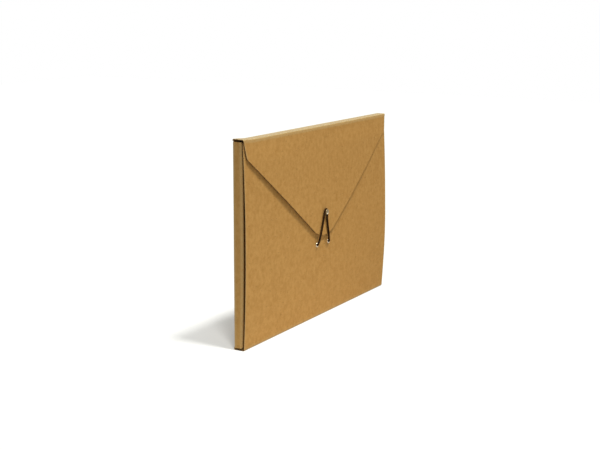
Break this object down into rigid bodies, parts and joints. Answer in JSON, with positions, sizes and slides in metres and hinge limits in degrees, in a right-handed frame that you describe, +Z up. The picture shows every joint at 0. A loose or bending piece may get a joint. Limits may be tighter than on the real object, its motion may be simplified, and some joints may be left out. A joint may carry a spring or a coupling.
{
  "type": "string tie envelope",
  "caption": "Stiff kraft board document envelope that stands on its spine, with a folding lid, a pointed flap and an elastic loop hooked over a metal stud.",
  "frame": {"origin": "centre of the underside of the bottom spine", "axes": "+X along the width, to the right seen from the front; -Y out of the front; +Z up to the lid"},
  "size_m": [0.34, 0.0231, 0.2365],
  "materials": {
    "kraft_board": "matte",
    "nickel": "satin",
    "elastic_cord": "matte"
  },
  "bodies": {
    "pocket": {"bottom_spine": "kraft_board", "back_panel": "kraft_board", "front_panel": "kraft_board", "left_side_wall": "kraft_board", "right_side_wall": "kraft_board", "left_glue_tab": "kraft_board", "right_glue_tab": "kraft_board", "left_eyelet": "nickel", "right_eyelet": "nickel", "left_cord_knot": "elastic_cord", "right_cord_knot": "elastic_cord"},
    "lid_spine": {"top_spine": "kraft_board"},
    "flap": {"closing_flap": "kraft_board", "flap_stud": "nickel", "stud_washer": "nickel"},
    "loop": {"elastic_loop": "elastic_cord"}
  },
  "joints": [
    {"name": "lid_crease", "type": "hinge", "parent": "pocket", "child": "lid_spine", "pos_m": [0, 0.00605, 0.23605], "axis": [-1, 0, 0], "range_deg": [0, 110]},
    {"name": "flap_crease", "type": "hinge", "parent": "lid_spine", "child": "flap", "pos_m": [0, -0.00715, 0.23605], "axis": [-1, 0, 0], "range_deg": [0, 110]},
    {"name": "loop_swing", "type": "hinge", "parent": "pocket", "child": "loop", "pos_m": [0, -0.01117, 0.09198], "axis": [1, 0, 0], "range_deg": [0, 150], "deforming": ["elastic_loop"]}
  ],
  "couplings": [
    {"joint": "flap_crease", "follows": "lid_crease", "ratio": 1},
    {"joint": "loop_swing", "follows": "lid_crease", "ratio": 1.36}
  ]
}
